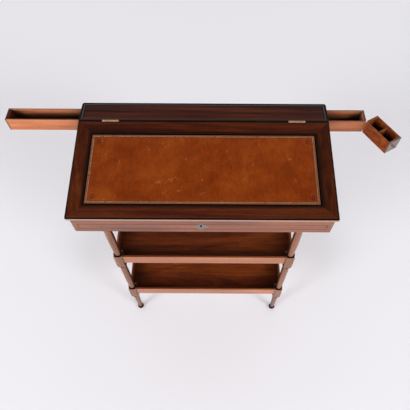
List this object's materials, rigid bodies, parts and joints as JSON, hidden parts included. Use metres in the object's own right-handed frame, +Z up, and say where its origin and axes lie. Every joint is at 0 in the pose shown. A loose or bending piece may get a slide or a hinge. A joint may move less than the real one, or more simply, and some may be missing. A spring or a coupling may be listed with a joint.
{
  "type": "slant-front desk",
  "caption": "Slant-front writing desk on a turned stand with shelves: leather-covered hinged lid, pen drawers pulled out of both ends, and a hinged ink box.",
  "frame": {"origin": "on the floor under the middle of the desk's width and depth, drawers not counted", "axes": "+X to the desk's right seen from its front, +Y to its back, +Z up"},
  "size_m": [1.1206, 0.3576, 0.8326],
  "materials": {
    "mahogany": "french polished mahogany, satin",
    "dark_mahogany": "dark french polished mahogany, glossy",
    "shelf_mahogany": "dark french polished mahogany, worn",
    "drawer_wood": "thin waxed cedar",
    "inner_wood": "plain planed wood",
    "ebonised_wood": "ebonised and polished",
    "inlay_wood": "dark stained stringing",
    "writing_leather": "tan hide with a tooled border, worn",
    "bone": "polished bone",
    "brass": "dull old brass",
    "lock_steel": "bright iron"
  },
  "bodies": {
    "desk": {"front_left_leg": "mahogany", "front_right_leg": "mahogany", "back_left_leg": "mahogany", "back_right_leg": "mahogany", "feet": "ebonised_wood", "upper_shelf_board": "shelf_mahogany", "upper_shelf_front_rail": "mahogany", "upper_shelf_back_rail": "mahogany", "upper_shelf_side_rails": "mahogany", "lower_shelf_board": "shelf_mahogany", "lower_shelf_front_rail": "mahogany", "lower_shelf_back_rail": "mahogany", "lower_shelf_side_rails": "mahogany", "case_front": "mahogany", "case_back": "mahogany", "case_left_side": "mahogany", "case_right_side": "mahogany", "case_bottom": "inner_wood", "glue_blocks": "inner_wood", "drawer_runner": "inner_wood", "drawer_partition": "inner_wood", "drawer_stop": "inner_wood", "ledge": "dark_mahogany", "ledge_bead": "ebonised_wood", "front_inlay": "inlay_wood", "escutcheon": "bone", "lock_case": "brass", "case_screws": "brass", "hinge_case_leaves": "brass", "hinge_pins": "brass"},
    "lid": {"hinge_lid_leaves": "brass", "lid_front_rail": "dark_mahogany", "lid_back_rail": "dark_mahogany", "lid_left_stile": "dark_mahogany", "lid_right_stile": "dark_mahogany", "lid_panel": "inner_wood", "writing_leather": "writing_leather", "leather_line": "ebonised_wood", "lid_bead": "ebonised_wood", "link_plate": "brass", "lid_screws": "brass"},
    "left_drawer": {"left_drawer_front": "dark_mahogany", "left_drawer_sides": "drawer_wood", "left_drawer_end": "drawer_wood", "left_drawer_bottom": "drawer_wood", "left_drawer_knob": "bone"},
    "right_tray": {"right_tray_outer_end": "drawer_wood", "right_tray_sides": "drawer_wood", "right_tray_inner_end": "drawer_wood", "right_tray_bottom": "drawer_wood", "tray_hinge_leaf": "brass", "ink_hinge_pin": "brass"},
    "ink_box": {"ink_box_front": "dark_mahogany", "ink_box_sides": "drawer_wood", "ink_box_end": "drawer_wood", "ink_box_bottom": "drawer_wood", "ink_box_divider": "drawer_wood", "ink_box_knob": "bone", "ink_box_hinge_leaf": "brass"},
    "lock_bolt": {"lock_bolt": "lock_steel"}
  },
  "joints": [
    {"name": "lid_hinge", "type": "hinge", "parent": "desk", "child": "lid", "pos_m": [0, 0.1087, 0.83], "axis": [-1, 0, 0], "range_deg": [0, 105]},
    {"name": "left_drawer_slide", "type": "slide", "parent": "desk", "child": "left_drawer", "axis": [-1, 0, 0], "range_m": [-0.2165, 0.04]},
    {"name": "right_tray_slide", "type": "slide", "parent": "desk", "child": "right_tray", "axis": [1, 0, 0], "range_m": [-0.107, 0.04]},
    {"name": "ink_box_swing", "type": "hinge", "parent": "right_tray", "child": "ink_box", "pos_m": [0.4615, 0.125, 0.79575], "axis": [0, 0, -1], "range_deg": [-58.8, 31.2]},
    {"name": "lock_bolt_slide", "type": "slide", "parent": "desk", "child": "lock_bolt", "axis": [-1, 0, 0], "range_m": [0, 0.007]}
  ]
}
